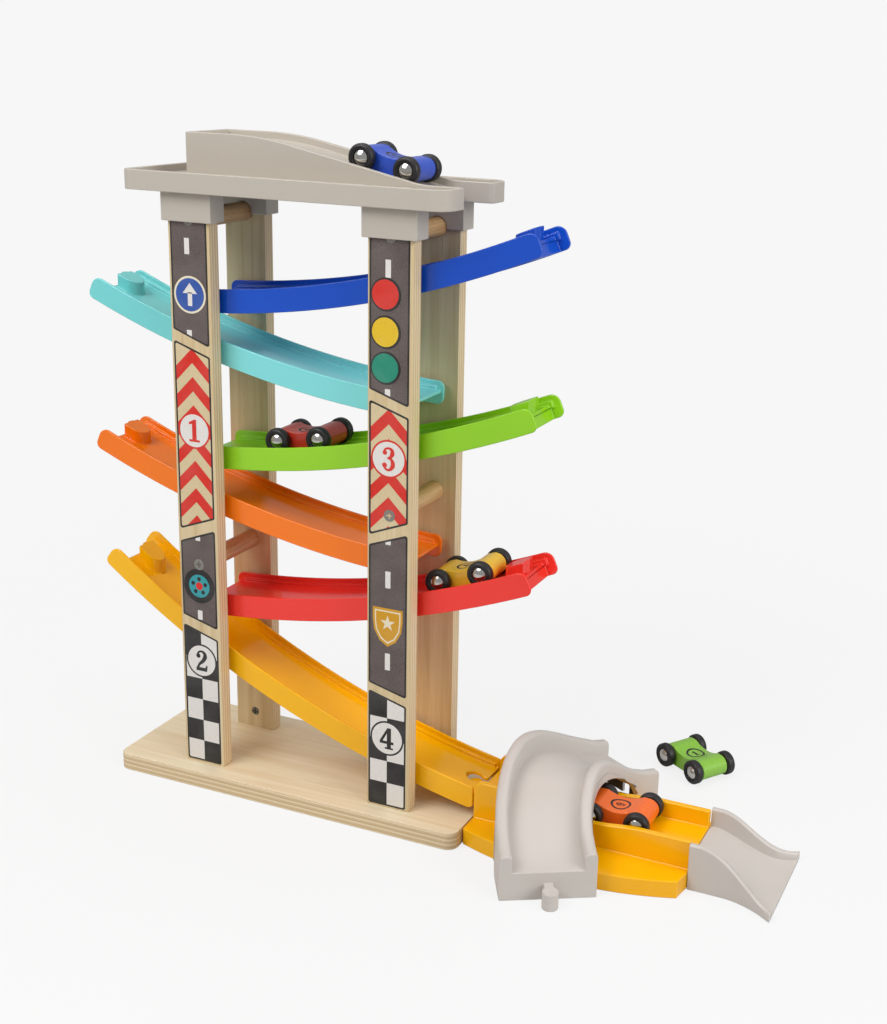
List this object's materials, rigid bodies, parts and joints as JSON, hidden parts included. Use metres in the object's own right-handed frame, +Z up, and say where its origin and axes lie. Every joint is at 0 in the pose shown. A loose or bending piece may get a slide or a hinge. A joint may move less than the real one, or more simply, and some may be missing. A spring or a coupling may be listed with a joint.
{
  "type": "toy car ramp",
  "caption": "Wooden-post toy car ramp with curved tracks that zigzag down from a starting deck to a tunnel, an arched bridge and a flared exit, with small wooden cars.",
  "frame": {"origin": "on the table, under the middle of the four posts, at the base board's underside", "axes": "+X along the base towards the tunnel and exit ramp, +Y from the front posts to the back posts, +Z up"},
  "size_m": [0.5083, 0.2552, 0.454],
  "materials": {
    "birch_board": "clear satin varnish",
    "printed_birch": "satin print on varnished plywood",
    "dowel_wood": "satin varnish",
    "screw_steel": "plated, slightly worn",
    "bolt_steel": "plated",
    "nut_steel": "blackened",
    "grey_plastic": "moulded, half gloss",
    "light_grey_plastic": "moulded, half gloss",
    "blue_plastic": "moulded, glossy",
    "teal_plastic": "moulded, glossy",
    "green_plastic": "moulded, glossy",
    "orange_plastic": "moulded, glossy",
    "red_plastic": "moulded, glossy",
    "yellow_plastic": "moulded, glossy",
    "blue_car_wood": "gloss lacquer",
    "red_car_wood": "gloss lacquer",
    "yellow_car_wood": "gloss lacquer",
    "orange_car_wood": "gloss lacquer",
    "green_car_wood": "gloss lacquer",
    "axle_steel": "polished domed caps",
    "black_tyres": "satin"
  },
  "bodies": {
    "tower": {"base_board": "birch_board", "front_left_post": "printed_birch", "front_right_post": "printed_birch", "back_left_post": "printed_birch", "back_right_post": "printed_birch", "upper_left_dowel": "dowel_wood", "upper_right_dowel": "dowel_wood", "lower_left_dowel": "dowel_wood", "lower_right_dowel": "dowel_wood", "dowel_screws": "screw_steel", "foot_bolts": "bolt_steel", "barrel_nuts": "nut_steel", "top_deck": "grey_plastic", "blue_track": "blue_plastic", "teal_track": "teal_plastic", "green_track": "green_plastic", "orange_track": "orange_plastic", "red_track": "red_plastic", "yellow_track": "yellow_plastic", "tunnel_track": "yellow_plastic"},
    "bridge": {"tunnel_bridge": "light_grey_plastic"},
    "exit": {"exit_ramp": "light_grey_plastic"},
    "blue_car": {"blue_car_body": "blue_car_wood"},
    "blue_front_wheelset": {"blue_car_front_axle": "axle_steel", "blue_car_front_wheels": "black_tyres"},
    "blue_rear_wheelset": {"blue_car_rear_axle": "axle_steel", "blue_car_rear_wheels": "black_tyres"},
    "red_car": {"red_car_body": "red_car_wood"},
    "red_front_wheelset": {"red_car_front_axle": "axle_steel", "red_car_front_wheels": "black_tyres"},
    "red_rear_wheelset": {"red_car_rear_axle": "axle_steel", "red_car_rear_wheels": "black_tyres"},
    "yellow_car": {"yellow_car_body": "yellow_car_wood"},
    "yellow_front_wheelset": {"yellow_car_front_axle": "axle_steel", "yellow_car_front_wheels": "black_tyres"},
    "yellow_rear_wheelset": {"yellow_car_rear_axle": "axle_steel", "yellow_car_rear_wheels": "black_tyres"},
    "orange_car": {"orange_car_body": "orange_car_wood"},
    "orange_front_wheelset": {"orange_car_front_axle": "axle_steel", "orange_car_front_wheels": "black_tyres"},
    "orange_rear_wheelset": {"orange_car_rear_axle": "axle_steel", "orange_car_rear_wheels": "black_tyres"},
    "green_car": {"green_car_body": "green_car_wood"},
    "green_front_wheelset": {"green_car_front_axle": "axle_steel", "green_car_front_wheels": "black_tyres"},
    "green_rear_wheelset": {"green_car_rear_axle": "axle_steel", "green_car_rear_wheels": "black_tyres"}
  },
  "joints": [
    {"name": "blue_car_roll", "type": "slide", "parent": "tower", "child": "blue_car", "axis": [0.9792, 0, -0.2028], "range_m": [-0.05, 0.008]},
    {"name": "blue_front_axle_spin", "type": "hinge", "parent": "blue_car", "child": "blue_front_wheelset", "pos_m": [0.0725, 0, 0.43722], "axis": [0, 1, 0], "continuous": true},
    {"name": "blue_rear_axle_spin", "type": "hinge", "parent": "blue_car", "child": "blue_rear_wheelset", "pos_m": [0.04117, 0, 0.44371], "axis": [0, 1, 0], "continuous": true},
    {"name": "red_car_roll", "type": "hinge", "parent": "tower", "child": "red_car", "pos_m": [-0.11044, 0, 0.93421], "axis": [0, 1, 0], "range_deg": [-10, 4]},
    {"name": "red_front_axle_spin", "type": "hinge", "parent": "red_car", "child": "red_front_wheelset", "pos_m": [-0.0232, 0, 0.25282], "axis": [0, 1, 0], "continuous": true},
    {"name": "red_rear_axle_spin", "type": "hinge", "parent": "red_car", "child": "red_rear_wheelset", "pos_m": [0.00843, 0, 0.25762], "axis": [0, 1, 0], "continuous": true},
    {"name": "yellow_car_roll", "type": "hinge", "parent": "tower", "child": "yellow_car", "pos_m": [-0.11044, 0, 0.82681], "axis": [0, 1, 0], "range_deg": [0, 14.5]},
    {"name": "yellow_front_axle_spin", "type": "hinge", "parent": "yellow_car", "child": "yellow_front_wheelset", "pos_m": [0.09846, 0, 0.17239], "axis": [0, 1, 0], "continuous": true},
    {"name": "yellow_rear_axle_spin", "type": "hinge", "parent": "yellow_car", "child": "yellow_rear_wheelset", "pos_m": [0.12871, 0, 0.18283], "axis": [0, 1, 0], "continuous": true},
    {"name": "orange_car_roll", "type": "slide", "parent": "tower", "child": "orange_car", "axis": [1, 0, 0], "range_m": [-0.008, 0.03]},
    {"name": "orange_front_axle_spin", "type": "hinge", "parent": "orange_car", "child": "orange_front_wheelset", "pos_m": [0.244, 0, 0.02905], "axis": [0, 1, 0], "continuous": true},
    {"name": "orange_rear_axle_spin", "type": "hinge", "parent": "orange_car", "child": "orange_rear_wheelset", "pos_m": [0.212, 0, 0.02905], "axis": [0, 1, 0], "continuous": true},
    {"name": "green_car_roll", "type": "slide", "parent": "tower", "child": "green_car", "axis": [0.8329, -0.5534, 0], "range_m": [-0.08, 0.08]},
    {"name": "green_front_axle_spin", "type": "hinge", "parent": "green_car", "child": "green_front_wheelset", "pos_m": [0.25433, 0.12515, 0.00875], "axis": [0.5534, 0.8329, 0], "continuous": true},
    {"name": "green_rear_axle_spin", "type": "hinge", "parent": "green_car", "child": "green_rear_wheelset", "pos_m": [0.22767, 0.14285, 0.00875], "axis": [0.5534, 0.8329, 0], "continuous": true},
    {"name": "bridge_lift", "type": "slide", "parent": "tower", "child": "bridge", "axis": [0, 0, 1], "range_m": [0, 0.06]},
    {"name": "exit_lift", "type": "slide", "parent": "tower", "child": "exit", "axis": [0, 0, 1], "range_m": [0, 0.06]}
  ]
}
